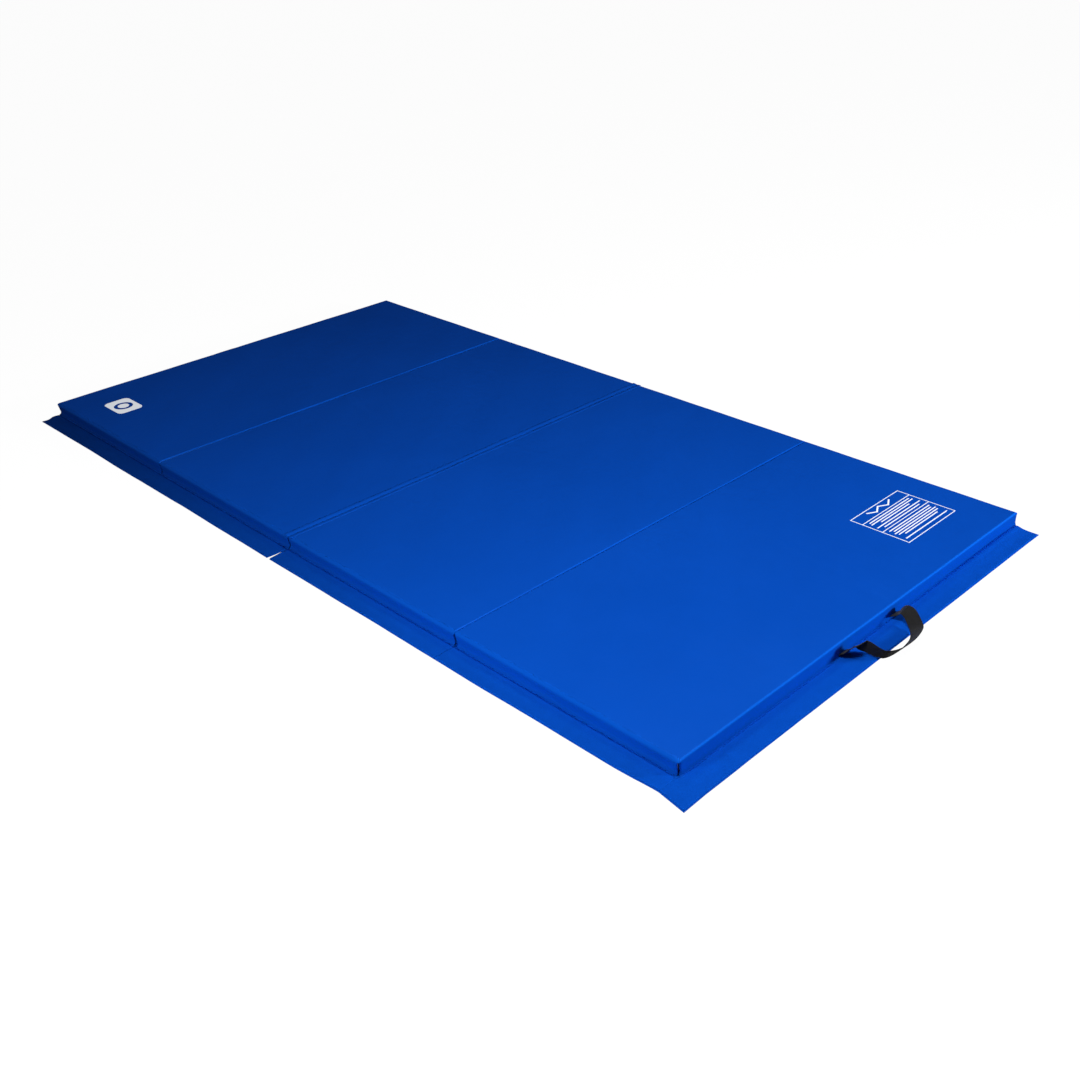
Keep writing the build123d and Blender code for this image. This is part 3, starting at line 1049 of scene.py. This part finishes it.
# %% Front flaps
TUCKED = 7.0 * MM                       # how far the flap's inner edge goes under the cover
FAR_TUCK = 10 * MM                      # and how much further at the far end
NOTCH = 5.0 * MM
NOTCH_REACH = 40 * MM
SHORT_REACH = 90 * MM


def front_flap_grid(panel, along, inset):
    """Places x on one stretch of the front flap, and q, how far each is out from the wall.

    Along the slit x leans away by the notch, as the cube of the nearness times how far out it is.
    At the far end it is short by 8 mm at the wall and 15 mm outside, less a sine.
    """
    from_end = (along - LEFT[1])[:, None]
    start = TAPE_START if inset else -TUCKED - FAR_TUCK * ease(1 - from_end / (60 * MM))
    q = start + ACROSS * (front_width(along)[:, None] - inset - start)
    out = q / FLAP_OUT
    by_slit = np.clip(1 - np.abs(along - FOLD[2]) / NOTCH_REACH, 0, 1)[:, None] ** 3
    away = 1 if panel > 2 else -1
    short = 8 * MM + 7 * MM * ease(out) - 3 * MM * np.sin(2 * np.pi * np.clip(out, 0, 1))
    x = along[:, None] + set_back(from_end, inset) + away * NOTCH * by_slit * out
    return x + np.clip(1 - from_end / SHORT_REACH, 0, 1) * short, q


for n in NUMBERS:
    x0 = LEFT[1] if n == 1 else FOLD[n - 1]
    x1 = RIGHT[4] if n == 4 else FOLD[n]
    for layer, inset, height, thickness, material, slot in LAYERS:
        x, q = front_flap_grid(n, np.linspace(x0, x1, 180), inset)
        piece = lay_sheet(f"front_{layer}_piece_{n}", x, FRONT - q, q, height, material, f"front_flap_{n}",
                          thickness, f"front_{layer}_{n}", (x1 - x0, FLAP_OUT - inset))
        if layer == "flap":
            # A pale line on the lip, partly wear and partly a painted highlight
            add_attribute(piece, "wear_and_highlight", bell(q - 1.8 * MM, 1.6 * MM))

# %% [markdown]
# ## The end flap
# It runs the length of the near end and takes in the corner square, where its rows lean forward to
# meet the front flap. Under the two ends of the handle it is barely tucked, because the strap has
# to pass there when the flap swings down.

# %% End flap
STRAP_ROOTS = (-104, 83)                # mm along the end wall from its middle, for both handles
BACK_SHORT = 9 * MM


def end_flap_grid(along, corner_end, inset):
    """Places x and y on the end flap, and the distance of each from the wall, round the corner.

    Each row runs out from its tuck to the flap's width. Rows in the corner square are set forward
    by a reach that grows along them, and the tuck is less by a bell at each root of the strap.
    """
    below = np.clip((FRONT - along) / (FRONT - corner_end), 0, 1)[:, None]
    beside_wall = ease((along - FRONT + 1 * MM) / (2 * MM))[:, None]
    by_root = sum(bell(along - MIDDLE_Y - root * MM, 24 * MM) for root in STRAP_ROOTS)[:, None]
    start = (TAPE_START if inset else -TUCKED * (1 - 0.9 * np.minimum(by_root, 1))) * beside_wall
    wide = end_width(np.maximum(along, FRONT))[:, None] + 2.0 * MM * below
    q = start + ACROSS * (wide - inset - start)
    reach = CORNER_WIDTH + 10 * MM * ACROSS - inset
    y = np.maximum(along, FRONT)[:, None] - set_back(along[-1] - along, inset)[:, None] - below * reach
    return RIGHT[4] + q, y, np.hypot(q, FRONT - np.minimum(y, FRONT))


y0, y1 = span("end_flap", 1)
for layer, inset, height, thickness, material, slot in LAYERS:
    x, y, q = end_flap_grid(np.linspace(y0, y1 - BACK_SHORT, 340), y0, inset)
    lay_sheet(f"end_{layer}_piece", x, y, q, height, material, "end_flap",
              thickness, f"end_{layer}", (END_OUT - inset, y1 - y0))

# %% [markdown]
# ## The hook strips
# Under the back edge and the far end lies hook tape, whose selvedges lift a little.

# %% Hook strips
HOOK_LIFT = 0.25 * MM                   # how far a selvedge lifts
SELVEDGE = 4 * MM


def hook_strip(node, body):
    """A strip on the floor whose edges lift a little, by an ease over the selvedge and a wander."""
    (x0, x1), (y0, y1) = span(node, 0), span(node, 1)
    long_x = x1 - x0 > y1 - y0
    nx, ny = (180, 14) if long_x else (14, 330)
    x, y = np.meshgrid(np.linspace(x0, x1, nx), np.linspace(y0, y1, ny), indexing="ij")
    s = x if long_x else y
    edge = np.minimum(y - y0, y1 - y) if long_x else np.minimum(x - x0, x1 - x)
    z = 0.05 * MM + HOOK_LIFT * (1 - ease(edge / SELVEDGE)) * (0.6 + 0.4 * drift(s, 77, 6, 0.1, 0.012))
    points = np.stack([x, y, z], axis=-1).reshape(-1, 3)
    piece = mesh_piece(f"{node}_tape", points, grid_faces(nx, ny)[:, ::-1], HOOK_TAPE, body)
    thicken(piece, 0.45 * MM)
    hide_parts(node)
    min(x1 - x0, y1 - y0)
    max(x1 - x0, y1 - y0)


for n in NUMBERS:
    hook_strip(f"back_hook_strip_{n}", f"panel_{n}")
hook_strip("far_end_hook_strip", "panel_1")

# %% [markdown]
# ## The handles
# A handle is one length of webbing, sewn in at both ends. It comes straight out of the wall,
# arches up, and has to twist to turn the corner, because webbing can't bend edgeways. Its middle
# line is a smooth curve through a few stations, each with a height and a lean. The strap's
# section, a flat loop with round edges, is carried along that line.

# %% The handles' routes
# Each station is the way out from the wall, the place along it, the height, and the lean in degrees
NEAR_ROUTE = (
    (-2.0, -104, 3.7, 0),
    (9, -103, 11, 12),
    (20, -97, 23, 36),
    (25, -85, 24, 50),
    (31, -76, 20.5, 84),
    (44, -75, 20, 90),
    (60, -75, 18.5, 80),
    (74, -70, 16, 66),
    (83, -54, 15, 58),
    (87.3, -28, 14, 52),
    (87.3, 4, 14, 48),
    (81, 35, 13, 44),
    (68, 60, 11, 28),
    (53, 73, 15, 24),
    (37, 81, 24, 22),
    (21, 84, 25, 14),
    (9, 83, 12, 2),
    (-2.0, 83, 3.7, 0),
)
FAR_ROUTE = (
    (-2.0, -104, 3.7, 0),
    (6, -104, 10, 2),
    (15, -102, 15, 3),
    (26, -97, 15, -6),
    (38, -88, 11, -14),
    (48, -75, 7, -12),
    (56, -56, 4.5, -4),
    (61, -29, 3.2, 2),
    (62, 1, 3, 3),
    (61, 31, 3.2, 3),
    (55, 58, 4.5, 5),
    (46, 76, 8, 10),
    (34, 84, 12, 14),
    (20, 85, 15, 10),
    (7, 83.5, 10, 2),
    (-2.0, 83, 3.7, 0),
)

print("stations of the two handles:", len(NEAR_ROUTE), "and", len(FAR_ROUTE))

# %% Strap surface
STRAP_WIDTH = 30 * MM
STRAP_THICKNESS = 1.7 * MM
SECTION_STEPS = 44


def smooth_through(values, count):
    """A Catmull-Rom curve through rows of values: cubics whose slope at each row is half the
    difference of its neighbours."""
    values = np.asarray(values, dtype=float)
    padded = np.vstack([2 * values[0] - values[1], values, 2 * values[-1] - values[-2]])
    at = np.linspace(0, len(values) - 1, count)
    k = np.clip(at.astype(int), 0, len(values) - 2)
    u = (at - k)[:, None]
    a, b, c, d = (padded[k + step] for step in range(4))
    square = 2 * a - 5 * b + 4 * c - d
    cube = 3 * b - a - 3 * c + d
    return 0.5 * (2 * b + (c - a) * u + square * u ** 2 + cube * u ** 3)


def unit(rows):
    """Each row divided by its length."""
    return rows / np.linalg.norm(rows, axis=1, keepdims=True)


def strap_section(steps):
    """Points round a flat strap's section, as (across, through): a stretched superellipse."""
    t = np.linspace(0, 2 * np.pi, steps, endpoint=False)
    across_it = np.sign(np.cos(t)) * np.abs(np.cos(t)) ** 0.35 * STRAP_WIDTH / 2
    through_it = np.sign(np.sin(t)) * np.abs(np.sin(t)) ** 0.6 * STRAP_THICKNESS / 2
    return across_it, through_it


def strap_quads(rows, columns):
    """Quads round a tube of rows, and at each end a cap that joins the section's two halves."""
    ring = np.arange(rows * columns).reshape(rows, columns)
    beside = np.roll(ring, -1, 1)
    tube = np.stack([ring[:-1], beside[:-1], beside[1:], ring[1:]], axis=-1).reshape(-1, 4)
    k = np.arange(columns // 2 - 1)
    cap = np.stack([k, k + 1, columns - k - 2, columns - k - 1], axis=1)
    return np.concatenate([tube, cap[:, ::-1], cap + (rows - 1) * columns])


def strap(name, middle, width_way, body, nodes):
    """A closed strap along a middle line (N x 3), its width along width_way, with a UV in metres.

    Each section stands square to the line: its side is width_way less its part along the line.
    """
    run = unit(np.gradient(middle, axis=0))
    side = unit(width_way - (width_way * run).sum(1, keepdims=True) * run)
    through = np.cross(run, side)
    a, b = strap_section(SECTION_STEPS)
    points = middle[:, None] + a[None, :, None] * side[:, None] + b[None, :, None] * through[:, None]
    quads = strap_quads(len(middle), SECTION_STEPS)
    piece = mesh_piece(name, points.reshape(-1, 3), quads, WEBBING, body)
    face_out(piece)
    length = np.concatenate([[0], np.cumsum(np.linalg.norm(np.diff(middle, axis=0), axis=1))])
    uv_points = np.stack([np.repeat(length, SECTION_STEPS), np.tile(a, len(middle))], axis=1)
    numbers = np.empty(len(piece.data.loops), dtype=np.int32)
    piece.data.loops.foreach_get("vertex_index", numbers)
    layer = piece.data.uv_layers.new(name="strap")
    layer.data.foreach_set("uv", uv_points[numbers].astype(np.float32).ravel())
    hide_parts(*nodes)
    print(name, "length", round(float(length[-1]), 3))

# %% Loops and tails
TAIL_INSIDE = 6.0 * MM
TAIL_BEND = 2.5 * MM
TAIL_FOOT = 3.7 * MM


def handle_loop(name, route, wall_x, outward, body, node):
    """A loop through a route's stations. At no lean its width is level, and at 90 upright."""
    stations = smooth_through(route, 150)
    out, along, up = (stations[:, k] * MM for k in range(3))
    middle = np.stack([wall_x + outward * out, MIDDLE_Y + outward * along, up], axis=1)
    run = np.gradient(middle, axis=0)
    level = unit(np.stack([run[:, 1], -run[:, 0], 0 * run[:, 0]], axis=1))
    upward = unit(np.cross(run, level))
    upward *= np.sign(upward[:, 2:])
    lean = np.radians(stations[:, 3])[:, None]
    strap(name, middle, level * np.cos(lean) + upward * np.sin(lean), body, [node])


def handle_tail(name, wall_x, outward, along, body, nodes):
    """A tail behind the wall: in at the foot, round a quarter turn, and 20 mm straight up."""
    turn = np.linspace(0, np.pi / 2, 12)
    x = np.concatenate([[-1.5 * MM], TAIL_BEND * (1 - np.sin(turn)) - TAIL_INSIDE, [-TAIL_INSIDE] * 6])
    straight = TAIL_FOOT + TAIL_BEND + np.linspace(3, 20, 6) * MM
    z = np.concatenate([[TAIL_FOOT], TAIL_FOOT + TAIL_BEND * (1 - np.cos(turn)), straight])
    middle = np.stack([wall_x + outward * x, np.full_like(x, MIDDLE_Y + outward * along), z], axis=1)
    strap(name, middle, np.tile([[0.0, 1.0, 0.0]], (len(x), 1)), body, nodes)


handle_loop("near_handle_strap", NEAR_ROUTE, RIGHT[4], 1, "near_handle", "near_handle_loop")
handle_loop("far_handle_strap", FAR_ROUTE, LEFT[1], -1, "far_handle", "far_handle_loop")
for name, wall_x, outward, body in (("near", RIGHT[4], 1, "panel_4"), ("far", LEFT[1], -1, "panel_1")):
    nodes = [f"{name}_handle_tails"]
    for number, root in enumerate(STRAP_ROOTS, start=1):
        handle_tail(f"{name}_handle_tail_{number}", wall_x, outward, root * MM, body, nodes)

# %% [markdown]
# ## The printed marks
# The badge and the care panel keep their CAD shapes, which lie flat on the flat part of the sheet.
# They only get the ink.

# %% Ink on the printed marks
for node in PRINTS.values():
    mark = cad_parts[node]
    mark.data.materials.clear()
    mark.data.materials.append(INK)
    print(node, "is printed in", INK.name)
